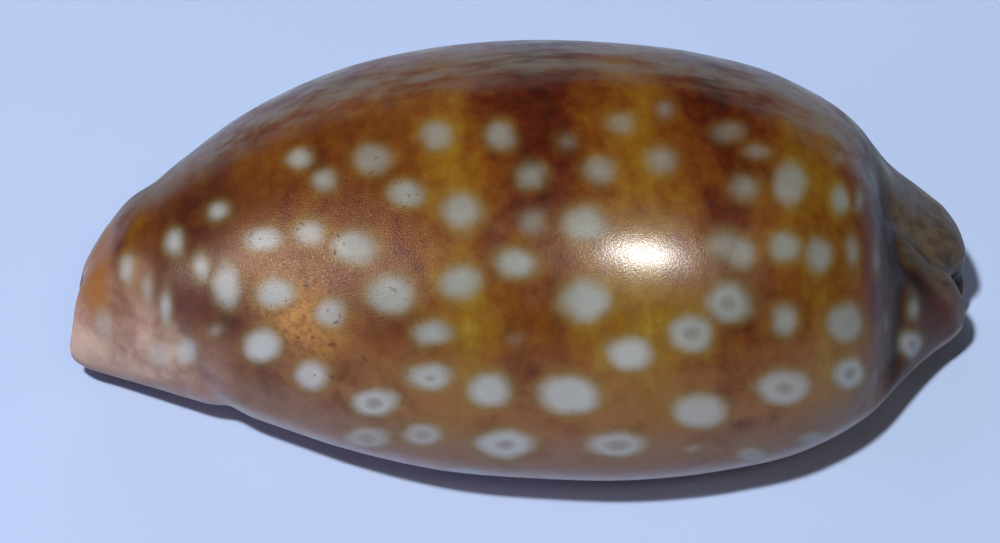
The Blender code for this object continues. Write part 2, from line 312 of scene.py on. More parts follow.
def inner_side(t, side, groove):
    """Inside points (y, z) from above the lip's turn up to beside the hollow's crown."""
    end = near_end(t, CANAL_LONG)
    half = along(t, FAR if side > 0 else NEAR)
    body = along(t, BODY_Y)
    edge = lip_edge(t, side)
    roof, floor, base = hollow(t)
    wide = (half - WALL_SIDE) * (1 - end) + end * (edge + CANAL_SPARE)
    wide = max(wide, edge + CANAL_SPARE)
    widest = floor + HOLLOW_WIDEST * (roof - floor)
    turn = np.linspace(0, np.pi / 2, HOLLOW_POINTS + 1)[1:]
    upper_y = wide * np.sin(turn) ** (2 / INSIDE)
    upper_z = widest + (roof - widest) * np.clip(np.cos(turn), 0, 1) ** (2 / INSIDE)
    share = np.linspace(0, 1, HOLLOW_POINTS // 2 + 1)[1:]
    floor_y = wide + (edge + FLOOR_LIP - wide) * share
    floor_z = widest - (widest - floor) * np.sin(share * np.pi / 2)
    cut = GROOVE_OUTER_LIP if side > 0 else GROOVE_INNER_LIP
    up = np.linspace(1, 0, LIP_WALL_POINTS + 1)[1:]
    foot = min(base + LIP_TURN_UP + WALL_FOOT_UP, floor - WALL_FOOT_DOWN)
    wall_y = edge + FLOOR_LIP * up**LIP_FLARE + groove * cut * (1 - up) ** GROOVE_DIES
    wall_z = foot + (floor - WALL_HEAD_DOWN - foot) * up
    y = np.concatenate((upper_y, floor_y, wall_y))
    z = np.concatenate((upper_z, floor_z, wall_z))
    return body + side * y, z


def hollow(t):
    """Roof and floor of the hollow at t, running into the canals at both ends."""
    end = near_end(t, CANAL_LONG)
    top = along(t, TOP)
    base = np.maximum(along(t, UNDER), 0.0)
    roof = (top - WALL_TOP) * (1 - end) + end * (base + CANAL_ROOF * (top - base))
    floor = base + LIP_HIGH * (1 - end) + end * CANAL_FLOOR * (top - base)
    return roof, floor, base


def drawn_back(t, y, z):
    """How far a point near an end lies behind the tip of its lobe."""
    slit = along(t, SLIT_Y)
    notch = NOTCH_DEEP * bump((y - slit) / NOTCH_HALF)
    height = np.clip(z - LEAN_FROM, 0, None)
    if t < 0.5:
        notch = notch * ease((FRONT_NOTCH_TOP - z) / LEAN_FROM + 0.5)
        lobe = FRONT_LEAN * height + FRONT_FAR_BACK * ease((y - slit) / LOBES_APART + 0.5)
    else:
        lobe = REAR_LEAN * height + REAR_NEAR_BACK * ease((slit - y) / LOBES_APART + 0.5)
    return near_end(t, END_LONG) * (notch + lobe)


def crease_line(y):
    """Where the rear crease lies along the shell."""
    return CREASE_X - CREASE_BOW * (y - CREASE_MIDDLE_Y) ** 2


def crease(x, y, z):
    """Depth of the creases at both ends and of the dimple in the rear one."""
    depth = CREASE_DEEP * bump((x - crease_line(y)) / CREASE_HALF)
    depth = depth * ease((CREASE_FAR_Y - y) / CREASE_FAR_FADE + 0.5)
    away = (x - DIMPLE_X) ** 2 + (y - DIMPLE_Y) ** 2
    depth = depth + DIMPLE_DEEP * np.exp(-away / DIMPLE_HALF**2)
    depth = depth * ease((z - CREASE_ABOVE) / CREASE_FADE + 0.5)
    front = FRONT_CREASE_X + FRONT_CREASE_SLOPE * (FRONT_CREASE_Z - z)
    shallow = FRONT_CREASE_DEEP * bump((x - front) / FRONT_CREASE_HALF)
    shallow = shallow * ease(-y / FRONT_CREASE_FADE)
    return depth + shallow * ease((FRONT_CREASE_TOP - z) / FRONT_CREASE_FADE)


def ring_at(t):
    """One closed section: its outside points, how far round they lie (less than 0 on the inner
    lip side), their shares in the teeth and grooves, and its inside points."""
    grooves = {side: float(groove_at(t, 0.0 if side > 0 else 0.5)) for side in (-1, 1)}
    body = along(t, BODY_Y)
    outs = {side: outer_side(t, side, grooves[side]) for side in (-1, 1)}
    ins = {side: inner_side(t, side, grooves[side]) for side in (-1, 1)}
    out_y = np.concatenate((outs[-1][0][::-1], (body,), outs[1][0]))
    out_z = np.concatenate((outs[-1][1][::-1], (along(t, TOP),), outs[1][1]))
    round_at = np.concatenate((-outs[-1][2][::-1], (0.0,), outs[1][2]))
    tooth = np.concatenate((outs[-1][3][::-1], (0.0,), outs[1][3]))
    side_groove = np.concatenate((
        np.full(len(outs[-1][0]) + 1, grooves[-1]), np.full(len(outs[1][0]), grooves[1]),
    ))
    in_y = np.concatenate((ins[-1][0][::-1], (body,), ins[1][0]))
    in_z = np.concatenate((ins[-1][1][::-1], (hollow(t)[0],), ins[1][1]))
    return out_y, out_z, round_at, tooth, side_groove, in_y, in_z


def rounded_rim(t, out_y, out_z, in_y, in_z):
    """Thins the wall towards both ends, so that the rim there is round."""
    from_end = min(t, 1 - t)
    if from_end >= RIM_LONG:
        return out_y, out_z, in_y, in_z
    kept = RIM_LEFT + (1 - RIM_LEFT) * math.sqrt(1 - (1 - from_end / RIM_LONG) ** 2)
    out_at = np.linspace(0, 1, len(out_y))
    in_at = np.linspace(0, 1, len(in_y))
    mate_y, mate_z = np.interp(out_at, in_at, in_y), np.interp(out_at, in_at, in_z)
    pair_y, pair_z = np.interp(in_at, out_at, out_y), np.interp(in_at, out_at, out_z)
    new_out_y = (out_y + mate_y) / 2 + (out_y - mate_y) / 2 * kept
    new_out_z = (out_z + mate_z) / 2 + (out_z - mate_z) / 2 * kept
    new_in_y = (in_y + pair_y) / 2 + (in_y - pair_y) / 2 * kept
    new_in_z = (in_z + pair_z) / 2 + (in_z - pair_z) / 2 * kept
    return new_out_y, new_out_z, new_in_y, new_in_z


def station_places():
    """Places along the shell, closer together where the rims and the crease turn sharply."""
    even = np.linspace(0, 1, EVEN_STEPS)
    density = 1 + RIM_CROWD * near_end(even, RIM_CROWD_LONG)
    density += CREASE_CROWD * bump((even - CREASE_CROWD_AT) / CREASE_CROWD_LONG)
    steps = np.concatenate(([0], np.cumsum((density[1:] + density[:-1]) / 2)))
    return np.interp(np.linspace(0, steps[-1], STATIONS), steps, even)


def grown_shell():
    """Points, faces, and for each point: whether it is inside, its share in the teeth and in a
    groove, and how far round the section it lies."""
    points, inside, rounds, tooth, groove = [], [], [], [], []
    for t in station_places():
        out_y, out_z, round_at, share, cuts, in_y, in_z = ring_at(t)
        out_y, out_z, in_y, in_z = rounded_rim(t, out_y, out_z, in_y, in_z)
        x = (t - 0.5) * LENGTH
        towards = 1 if t < 0.5 else -1
        out_x = x + drawn_back(t, out_y, out_z) * towards
        in_x = x + drawn_back(t, in_y, in_z) * towards
        way_y = along(t, BODY_Y) - out_y
        way_z = PRESSED_TOWARDS * along(t, WIDEST) - out_z
        far = np.hypot(way_y, way_z)
        press = crease(out_x, out_y, out_z)
        out_y = out_y + press * way_y / far
        out_z = out_z + press * way_z / far
        ring = np.concatenate((
            np.stack((out_x, out_y, out_z), axis=1),
            np.stack((in_x, in_y, in_z), axis=1)[::-1],
        ))
        points.append(ring)
        inside.append(np.concatenate((np.zeros(len(out_x)), np.ones(len(in_x)))))
        tooth.append(np.concatenate((share, np.ones(len(in_x)))))
        groove.append(np.concatenate((cuts, np.zeros(len(in_x)))))
        rounds.append(np.concatenate((round_at, np.full(len(in_x), ROUND_INSIDE))))
    rows, count = len(points), len(points[0])
    outside = len(out_x)  # the same at every station
    index = np.arange(rows * count).reshape(rows, count)
    ahead = np.roll(index, -1, axis=1)
    faces = np.stack((index[:-1], index[1:], ahead[1:], ahead[:-1]), axis=-1)
    faces = faces.reshape(-1, 4).tolist()
    values = {
        "inside": np.concatenate(inside),
        "tooth": np.concatenate(tooth),
        "groove": np.concatenate(groove),
        "round": np.concatenate(rounds),
    }
    # Rims: strips of triangles that join the outside to the inside at both ends
    for row in (0, rows - 1):
        ring = index[row]
        outer = ring[:outside]
        inner = ring[outside:][::-1]
        a = b = 0
        while a < len(outer) - 1 or b < len(inner) - 1:
            outer_next = (a + 1) / (len(outer) - 1) <= (b + 1) / (len(inner) - 1)
            if b == len(inner) - 1 or outer_next and a < len(outer) - 1:
                face = [int(outer[a]), int(outer[a + 1]), int(inner[b])]
                a += 1
            else:
                face = [int(outer[a]), int(inner[b + 1]), int(inner[b])]
                b += 1
            faces.append(face if row == 0 else face[::-1])
    return np.concatenate(points), faces, values


def in_box(points, low, high):
    """Moves and stretches the points so that they fill the solid's box exactly."""
    mine_low, mine_high = points.min(axis=0), points.max(axis=0)
    return low + (points - mine_low) / (mine_high - mine_low) * (high - low)


def view_axes():
    """The camera's right, up and backward directions."""
    up_turn, turn = math.radians(VIEW_ABOVE), math.radians(VIEW_TURN)
    back = np.array((
        math.sin(turn) * math.cos(up_turn), -math.cos(turn) * math.cos(up_turn), math.sin(up_turn),
    ))
    right = np.array((math.cos(turn), math.sin(turn), 0.0))
    return right, np.cross(back, right), back


def camera_place():
    """Where the camera stands, in millimetres, so that VIEW_AT falls on VIEW_AT_PX."""
    right, up, back = view_axes()
    aside = (PHOTO_WIDE / 2 - VIEW_AT_PX[0]) / PX_PER_MM
    above = (VIEW_AT_PX[1] - PHOTO_HIGH / 2) / PX_PER_MM
    return np.array(VIEW_AT) + right * aside + up * above + back * VIEW_FAR


def sight_line(px, py):
    """Direction from the camera through a pixel of the photograph."""
    right, up, back = view_axes()
    reach = PX_PER_MM * VIEW_FAR
    line = right * (px - PHOTO_WIDE / 2) / reach + up * (PHOTO_HIGH / 2 - py) / reach - back
    return line / np.linalg.norm(line)


def photo_spots(tree):
    """Spots of the photograph on the shell: middle, two half axes, normal, paleness, eye."""
    eye = camera_place()
    spots = []
    for px, py, wide, high, pale, dark in SPOTS_PX:
        line = sight_line(px, py)
        middle, normal, _, _ = tree.ray_cast(Vector(eye), Vector(line))
        middle, normal = np.array(middle), np.array(normal)
        lean = abs(float(normal @ line))
        across = []
        for aside, down in ((wide / 2, 0), (0, high / 2)):
            way = sight_line(px + aside, py + down)
            hit = eye + way * ((middle - eye) @ normal) / (way @ normal)
            arm = hit - middle
            longest = math.hypot(aside, down) / PX_PER_MM / max(lean, SPOT_LEAN_MOST)
            across.append(arm * min(1, longest / np.linalg.norm(arm)))
        spots.append((middle, across[0], across[1], normal, pale, dark))
    return spots


def not_shown(points, normals, values):
    """Where the shell carries spots that the photograph doesn't show."""
    x, _, z = points.T
    spotted = (z > SPOTS_ABOVE) & (abs(x) < SPOTS_WITHIN)
    spotted &= (values["inside"] < 0.5) & (values["tooth"] <= 0)
    to_camera = camera_place() - points
    facing = (to_camera * normals).sum(axis=1) / np.linalg.norm(to_camera, axis=1)
    return spotted & (facing < SEEN_FACING)


def far_spots(points, normals, hidden, spots):
    """Adds the spots that the photograph doesn't show: on the far flank and under the margin."""
    rng = np.random.default_rng(FAR_SPOT_SEED)
    middles = [spot[0] for spot in spots]
    for k in rng.permutation(len(points)):
        if not hidden[k]:
            continue
        place, normal = points[k], normals[k]
        apart = FAR_SPOT_APART * rng.uniform(*FAR_SPOT_SPREAD)
        if np.min(np.linalg.norm(np.array(middles) - place, axis=1)) < apart:
            continue
        middles.append(place)
        size = rng.uniform(*FAR_SPOT_HALF)
        first = np.cross(normal, FAR_SPOT_TURN)
        first *= size * rng.uniform(*FAR_SPOT_SPREAD) / np.linalg.norm(first)
        second = np.cross(normal, first) * rng.uniform(*FAR_SPOT_LONG)
        dark = EYED_DARK if place[2] < EYED_BELOW and rng.random() < EYED_SHARE else 0.0
        spots.append((place, first, second, normal, rng.uniform(*FAR_SPOT_PALE), dark))


def spot_fields(points, spots):
    """For each point: millimetres to the nearest spot's edge (less than 0 inside it), the
    same for the dark eyes in spots, and how pale the spots near it are."""
    edge = np.full(len(points), SPOT_NONE)
    eye = np.full(len(points), SPOT_NONE)
    weight = np.full(len(points), FAINTEST)
    pale_sum = np.full(len(points), FAINTEST)
    for middle, first, second, normal, pale, dark in spots:
        away = points - middle
        reach = max(np.linalg.norm(first), np.linalg.norm(second))
        near = np.nonzero((away**2).sum(axis=1) < (reach + SPOT_REACH) ** 2)[0]
        away = away[near]
        grid = np.stack((first, second, normal * reach), axis=1)
        share = np.linalg.norm(away @ np.linalg.inv(grid).T, axis=1)
        size = math.sqrt(np.linalg.norm(first) * np.linalg.norm(second))
        far = (share - SPOT_FULL) * size
        edge[near] = np.minimum(edge[near], far)
        if dark:
            eye_far = (share - EYE_WIDE) * size + (1 - dark) * EYE_SHRINK
            eye[near] = np.minimum(eye[near], eye_far)
        pull = np.exp(-np.clip(far, PALE_FROM, PALE_TO) * PALE_BLEND)
        weight[near] += pull
        pale_sum[near] += pull * pale
    return edge, eye, pale_sum / weight


def rise(value, start, full):
    """0 at start and 1 at full, smooth between them, whichever of the two is greater."""
    return ease((value - start) / (full - start))


def around(value, middle, half):
    """1 at the middle, falling smoothly away on both sides of it."""
    return bump((value - middle) / half)


# Cross bands in the ground: middle and half length of each along the shell, in millimetres
PALE_BANDS = ((-6.0, 3.0), (8.5, 4.0), (24.0, 3.5))
DARK_BANDS = ((1.0, 3.5), (15.5, 4.0), (28.7, 1.8))
PALE_BAND = 0.15
DARK_BAND = 0.12
GROUND_TONE = -0.255

# Areas that growth and wear marked, and areas where light, shade and reflection are painted:
# side (near is the inner lip's, far the outer lip's), how much at most, and limits along measures
# of the shell. The measures are x, y, z, how far behind the rear crease and how far from mid
# length, in millimetres, how far round the section (0 crown, 1 widest line, 2 lip), the station
# (0 front end, 1 rear end) and the share in the teeth. An area rises from one value to the next,
# or lies around a middle with a half width.
AREAS = {
    # Ground that is lighter or darker
    "front_shade": ("all", -0.22, (
        ("x", around, -22.0, 8.0), ("round", rise, 0.2, 0.7), ("round", rise, 1.2333, 0.9),
    )),
    # Painted light: the near flank lighter, as if lit from the front
    "near_flank": ("near", 0.12, (("round", rise, 0.3, 0.9),)),
    "far_back": ("far", -0.10, (("round", rise, 0.0, 0.5),)),
    # Painted light: a lighter glow of ground round the highlight
    "amber_back": ("near", 0.15, (("x", around, 6.0, 12.0), ("z", around, 23.0, 5.0))),
    # Stronger bands and fainter spots at the crown, and spots painted lighter, as if lit, towards
    # the front and in the middle of the near flank
    "crown_bands": ("all", 1.3, (("z", rise, 24.5, 27.5),)),
    "crown_spots": ("all", 0.30, (("z", rise, 25.5, 28.5),)),
    "front_spots": ("near", 0.5, (("x", rise, -12.0, -18.0), ("z", rise, 27.0, 23.0))),
    "middle_spots": ("near", 0.45, (("x", around, 7.0, 4.0), ("z", around, 20.0, 4.0))),
    # Coats down the flanks and on the base, the low one painted light and the rim a painted
    # reflection; the margin and the rim stop short of the two ends
    # Painted light: the low part of the near flank
    "low": ("near", 1.0, (("round", rise, 0.55, 0.95),)),
    "margin": ("all", 1.0, (("round", rise, 0.88, 1.05), ("x", rise, -31.0, -28.0))),
    # Painted reflection of the table along the rim
    "rim": ("all", 0.8, (("round", rise, 1.03, 1.18), ("x", rise, -31.0, -28.0))),
    "rear_flange": ("all", 0.75, (("x", rise, 24.0, 30.0),)),
    "base": ("all", 1.0, (("round", rise, 1.12, 1.37),)),
    "teeth": ("outside", 1.0, (
        ("tooth", rise, 0.1, 0.85),
        ("station", rise, TEETH_FROM - 0.02, TEETH_FROM + 0.01),
        ("station", rise, TEETH_TO + 0.01, TEETH_TO - 0.02),
    )),
    "canal": ("all", 1.0, (("off_middle", rise, 26.0, 32.0),)),
    # Grey streaks of the far flank, partly real and partly painted reflection
    "far_flank": ("outside", 1.0, (("slanted_y", rise, 2.0, 7.0), ("y", rise, 14.0, 10.0))),
    # Marks of the front end
    "maroon": ("outside", 1.0, (("x", around, -26.5, 4.5), ("y", around, -1.0, 7.5))),
    "callus": ("outside", 1.0, (("x", rise, -22.5, -29.5), ("z", rise, 15.0, 9.0))),
    "amber_edge": ("outside", 1.0, (("x", rise, -33.0, -34.5), ("z", rise, 8.0, 11.0))),
    "dull_front": ("all", 1.0, (("x", rise, -27.0, -30.0),)),
    # Wear on the back
    "worn": ("near", 1.0, (("x", around, -18.5, 3.2), ("z", around, 17.5, 3.0))),
    "scuffed": ("outside", 1.0, (
        ("x", around, -16.0, 9.0), ("y", around, -8.0, 8.0), ("z", rise, 8.0, 12.0),
    )),
    # Marks of the rear end behind the crease, and painted shade in the crease and its dimple
    "far_lobe": ("outside", 1.0, (("behind", rise, 0.0, 0.8), ("y", rise, -3.0, -1.5))),
    "near_lobe": ("outside", 0.9, (
        ("behind", rise, 0.0, 0.8), ("y", rise, -2.0, -3.5), ("z", rise, 2.5, 5.5),
    )),
    # Painted shade: the furrow in the rear crease and the dimple in it
    "furrow": ("outside", 0.85, (
        ("behind", around, 0.2, 0.9), ("z", rise, 3.0, 6.0), ("y", rise, 5.0, 1.0),
    )),
    "dimple": ("outside", 0.9, (("x", around, 32.0, 1.8), ("y", around, -3.5, 1.8))),
    "dull_rear": ("all", 1.0, (("behind", rise, -3.0, -1.0),)),
}
FLANK_SLANT_FROM = 14.0  # behind this place the far flank's coat starts ever nearer the crown,
FLANK_SLANT = 0.4  # by this share of the way
# How much lighter the spots are painted, as if lit, low on the near flank
LOW_SPOTS_LIT = 0.75
FAR_MARGIN_LESS = 0.3
# Painted shade in the rear crease is at most this strong
FURROW_SHADE_MOST = 0.9


def grown_fields(points, values, spots):
    """What the enamel reads at each point: the ground's tone, the spots, and how far the areas
    that growth and wear marked, and the painted light, shade and reflection, cover it."""
    x, y, z = points.T
    measures = {
        "x": x,
        "y": y,
        "z": z,
        "station": x / LENGTH + 0.5,
        "off_middle": abs(x),
        "behind": x - crease_line(y),
        "slanted_y": y + FLANK_SLANT * np.clip(x - FLANK_SLANT_FROM, 0, None),
        "round": abs(values["round"]),
        "tooth": values["tooth"],
    }
    far = values["round"] > 0
    sides = {"all": 1.0, "near": values["round"] < 0, "far": far, "outside": values["inside"] < 0.5}
    fields = {}
    for name, (side, most, limits) in AREAS.items():
        fields[name] = most * sides[side]
        for measure, limit, first, second in limits:
            fields[name] = fields[name] * limit(measures[measure], first, second)

    tone = GROUND_TONE + PALE_BAND * sum(around(x, *band) for band in PALE_BANDS)
    dark = DARK_BAND * sum(around(x, *band) for band in DARK_BANDS)
    tone -= dark * (1 + fields.pop("crown_bands"))
    for name in ("front_shade", "near_flank", "far_back", "amber_back"):
        tone += fields.pop(name)
    edge, eye_edge, pale = spot_fields(points, spots)
    # Spots painted lit: low on the near flank, towards the front and in the middle of the near
    # flank
    lit = LOW_SPOTS_LIT * fields["low"] + fields.pop("front_spots") + fields.pop("middle_spots")
    left = 1 - fields.pop("rear_flange")
    fields["margin"] *= (1 - FAR_MARGIN_LESS * far) * left
    fields["rim"] *= left
    fields["teeth"] *= 1 - values["groove"]
    # Painted shade in the rear crease, deeper in its dimple
    fields["furrow"] = np.clip(fields["furrow"] + fields.pop("dimple"), 0, FURROW_SHADE_MOST)
    fields["dull"] = np.clip(fields.pop("dull_rear") + fields.pop("dull_front"), 0, 1)
    fields["inside"] = values["inside"]
    fields["tone"] = tone
    fields["spot_edge"] = edge
    fields["eye_edge"] = eye_edge
    fields["spot_pale"] = pale * (1 - fields.pop("crown_spots"))
    fields["spot_lit"] = np.clip(lit, 0, 1)
    return fields


def linear(colour):
    """An sRGB hex colour as linear red, green, blue and full alpha."""
    parts = [int(colour[k : k + 2], 16) / 255 for k in (1, 3, 5)]
    light = [c / 12.92 if c <= 0.04045 else ((c + 0.055) / 1.055) ** 2.4 for c in parts]
    return (*light, 1.0)


def add(tree, kind, inputs=(), **settings):
    """Adds one shader node; inputs pairs a socket with a value or with another node's output."""
    made = tree.nodes.new(kind)
    for name, value in settings.items():
        setattr(made, name, value)
    for key, value in dict(inputs).items():
        if isinstance(value, bpy.types.NodeSocket):
            tree.links.new(value, made.inputs[key])
        else:
            made.inputs[key].default_value = value
    return made


# Sockets of a colour mix
SHARE, UNDER_COAT, OVER_COAT, MIXED = 0, 6, 7, 2

# Brown pigment of the ground, from the darkest mottles to the yellow bands, and how much the
# fine cloud and the broad patches move it
PIGMENT = (
    (0.0, "#240a06"), (0.25, "#4a1b07"), (0.5, "#66390b"), (0.75, "#785611"), (1.0, "#917728"),
)
MOTTLE_SHARE = 0.5
BLOTCH_SHARE = 0.85

# Millimetres of the mottling in the enamel
MOTTLE = 1.4  # fine cloud in the ground
BLOTCH = 6.2  # broad patches of lighter and darker ground, longer across the shell
WOBBLE = 2.4  # unevenness of the edges of spots
SPOT_CLOUD = 2.0
BASE_CLOUD = 2.9
TOOTH_CLOUD = 1.25
POLISH = 1.7  # patches that are more and less polished
RIPPLE = 2.5  # growth ripple
SPECKS = 0.7  # apart; only the darkest middles of this cloud show
PITS = 0.17  # real pits are a few hundredths wide; these are as coarse as the render needs

# Clouds that the enamel reads: name, millimetres, detail, roughness, stretch
CLOUDS = (
    ("mottle", MOTTLE, 5.0, 0.6, (1.0, 1.0, 1.0)),
    ("blotch", BLOTCH, 3.0, 0.55, (1.7, 0.8, 0.8)),
    ("wobble", WOBBLE, 2.5, 0.5, (1.0, 1.0, 1.0)),
    ("spot", SPOT_CLOUD, 3.0, 0.55, (1.0, 1.0, 1.0)),
    ("base", BASE_CLOUD, 4.0, 0.6, (1.0, 1.0, 1.0)),
    ("tooth", TOOTH_CLOUD, 3.0, 0.6, (1.0, 1.0, 1.0)),
    ("polish", POLISH, 5.0, 0.65, (1.0, 1.0, 1.0)),
    ("ripple", RIPPLE, 3.0, 0.5, (1.3, 0.8, 0.8)),
    ("pits", PITS, 3.0, 0.6, (1.0, 1.0, 1.0)),
    ("specks", SPECKS, 1.0, 0.5, (1.0, 1.0, 1.0)),
)

# Coats that later growth and wear leave over the pigment, with painted light (low), painted
# reflection (rim, and partly far flank) and painted shade (furrow), in the order they lie: where,
# colour, millimetres of the mottling, how far it is drawn out along the shell, and how much of the
# coat it leaves where it is thinnest and thickest
COATS = (
    # Painted light: the low part of the near flank, lighter as if lit from the front
    ("low", "#865b35", 2.9, 1.0, 0.1, 0.8),
    ("maroon", "#3c130a", 3.3, 1.0, 0.45, 1.0),
    ("worn", "#b98544", 0.6, 1.0, 0.3, 0.8),
    ("margin", "#7b5f4e", 1.4, 1.0, 0.6, 1.0),
    # Painted reflection of the pale table along the rim
    ("rim", "#b8a4a0", 2.0, 1.0, 0.8, 1.0),
    # Grey streaks of the far flank, partly real and partly painted reflection
    ("far_flank", "#6f6a61", 1.6, 4.0, 0.15, 0.85),
    ("callus", "#80574e", 2.0, 1.0, 0.55, 1.0),
    ("callus", "#bb9f8a", 5.0, 1.0, 0.15, 1.0),
    ("amber_edge", "#8a551c", 2.0, 1.0, 0.9, 1.0),
    ("far_lobe", "#3c3026", 2.0, 2.0, 0.6, 1.0),
    ("far_lobe", "#655841", 1.2, 2.0, 0.0, 0.7),
    ("near_lobe", "#4a200b", 2.0, 1.0, 0.8, 1.0),
    # Painted shade in the rear crease
    ("furrow", "#140a08", 2.0, 1.0, 0.95, 1.0),
)
COAT_DETAIL = 4.0
COAT_ROUGH = 0.6
CLOUD_THIN, CLOUD_THICK = 0.33, 0.64  # values of a cloud where a coat is thinnest and thickest

# A spot's colour where its cloud is thin, where it is thick, and where it looks lit
SPOT_THIN, SPOT_THICK, SPOT_LIT = "#747972", "#8c928b", "#adafab"

# Halo, spot and eye: edge that it follows, and, in millimetres from that edge, how far the wobble
# moves it, where it starts and where it is full; then how much it covers, and its colour
SPOT_RINGS = (
    ("spot_edge", 1.1, 1.80, 0.60, 0.32, "#77703a"),
    ("spot_edge", 1.1, 1.10, -0.35, 0.92, None),  # in the spot's own clouded colour
    ("eye_edge", 0.9, 0.85, 0.00, 0.55, "#6a5a50"),
)

# What a cloud gives: its value where that starts and where it is full, and how much it gives there
TOOTH_COVER = (0.30, 0.60, 0.75, 1.0)
SPECK_COVER = (0.68, 0.73, 0.0, 0.7)
POLISH_ROUGHNESS = (0.3, 0.7, 0.27, 0.40)
PIT_HEIGHT = (0.35, 0.60, 0.0, 1.0)

# Gloss: refraction of aragonite, and the clear coat that carries the halo of the highlight
ENAMEL_IOR = 1.55
ENAMEL_SPECULAR = 0.12
WORN_ROUGHER = 0.08
COAT = 0.18
COAT_LESS = 0.14  # at the two ends, where the enamel is dull
COAT_ROUGHNESS = 0.17

# Relief: how strongly it shows, and its height in millimetres
RIPPLE_SHOWS = 0.22
RIPPLE_HIGH = 0.1
PITS_SHOW = 0.10
PITS_SHOW_WORN = 0.40  # added where the enamel is scuffed
PITS_DEEP = 0.03


def ground(tree, grown, clouds):
    """Brown pigment in soft mottles and broad patches."""
    tone = grown["tone"]
    for name, share in (("mottle", MOTTLE_SHARE), ("blotch", BLOTCH_SHARE)):
        tone = {0: clouds[name], 1: share, 2: tone}
        tone = add(tree, "ShaderNodeMath", tone, operation="MULTIPLY_ADD").outputs[0]
    ramp = add(tree, "ShaderNodeValToRGB", {0: tone})
    stops = ramp.color_ramp.elements
    for at, _ in PIGMENT[1:-1]:
        stops.new(at)
    for stop, (at, tint) in zip(stops, PIGMENT):
        stop.position = at
        stop.color = linear(tint)
    return ramp.outputs["Color"]


def coated(tree, mm, grown, colour):
    """Mottled coats that growth and wear leave over the ground, and coats of painted light, shade
    and reflection.
    """
    for name, tint, size, drawn_out, thin, thick in COATS:
        at = {"Vector": mm, "Scale": (1 / drawn_out, 1, 1)}
        at = add(tree, "ShaderNodeMapping", at).outputs[0]
        cloud = {"Vector": at, "Scale": 1 / size, "Detail": COAT_DETAIL, "Roughness": COAT_ROUGH}
        cloud = add(tree, "ShaderNodeTexNoise", cloud).outputs["Fac"]
        cover = {0: cloud, 1: CLOUD_THIN, 2: CLOUD_THICK, 3: thin, 4: thick}
        cover = add(tree, "ShaderNodeMapRange", cover, interpolation_type="SMOOTHSTEP").outputs[0]
        laid = {0: grown[name], 1: cover}
        laid = add(tree, "ShaderNodeMath", laid, operation="MULTIPLY").outputs[0]
        over = {SHARE: laid, UNDER_COAT: colour, OVER_COAT: linear(tint)}
        colour = add(tree, "ShaderNodeMix", over, data_type="RGBA").outputs[MIXED]
    return colour


def spotted(tree, grown, clouds, colour):
    """Pale soft-edged spots, painted lighter where they should look lit, with a faint greenish
    halo, and near the margin with a brown eye.
    """
    pale = linear(SPOT_THIN)
    for share, tint in ((clouds["spot"], SPOT_THICK), (grown["spot_lit"], SPOT_LIT)):
        over = {SHARE: share, UNDER_COAT: pale, OVER_COAT: linear(tint)}
        pale = add(tree, "ShaderNodeMix", over, data_type="RGBA").outputs[MIXED]
    for name, wobble, starts, full, most, tint in SPOT_RINGS:
        edge = {0: clouds["wobble"], 1: wobble, 2: grown[name]}
        edge = add(tree, "ShaderNodeMath", edge, operation="MULTIPLY_ADD").outputs[0]
        ring = {0: edge, 1: starts, 2: full, 3: 0.0, 4: most}
        ring = add(tree, "ShaderNodeMapRange", ring, interpolation_type="SMOOTHSTEP").outputs[0]
        ring = {0: ring, 1: grown["spot_pale"]}
        ring = add(tree, "ShaderNodeMath", ring, operation="MULTIPLY").outputs[0]
        over = {SHARE: ring, UNDER_COAT: colour, OVER_COAT: linear(tint) if tint else pale}
        colour = add(tree, "ShaderNodeMix", over, data_type="RGBA").outputs[MIXED]
    return colour


def underside(tree, grown, clouds, colour):
    """Paler base, brown teeth with light grooves between them, and the hollow, darker in the
    canals; then the specks, tiny dark pits where the back was scuffed."""
    base = {SHARE: clouds["base"], UNDER_COAT: linear("#7f5a3e"), OVER_COAT: linear("#c0a085")}
    base = add(tree, "ShaderNodeMix", base, data_type="RGBA").outputs[MIXED]
    within = {SHARE: grown["canal"], UNDER_COAT: linear("#9d8a82"), OVER_COAT: linear("#3a2418")}
    within = add(tree, "ShaderNodeMix", within, data_type="RGBA").outputs[MIXED]
    tooth = {0: clouds["tooth"]} | dict(enumerate(TOOTH_COVER, 1))
    tooth = add(tree, "ShaderNodeMapRange", tooth, interpolation_type="SMOOTHSTEP").outputs[0]
    tooth = {0: grown["teeth"], 1: tooth}
    tooth = add(tree, "ShaderNodeMath", tooth, operation="MULTIPLY").outputs[0]
    speck = {0: clouds["specks"]} | dict(enumerate(SPECK_COVER, 1))
    speck = add(tree, "ShaderNodeMapRange", speck, interpolation_type="SMOOTHSTEP").outputs[0]
    speck = {0: grown["scuffed"], 1: speck}
    speck = add(tree, "ShaderNodeMath", speck, operation="MULTIPLY").outputs[0]
    for share, tint in (
        (grown["base"], base), (tooth, linear("#40200f")), (grown["inside"], within),
        (speck, linear("#3a1a10")),
    ):
        over = {SHARE: share, UNDER_COAT: colour, OVER_COAT: tint}
        colour = add(tree, "ShaderNodeMix", over, data_type="RGBA").outputs[MIXED]
    return colour


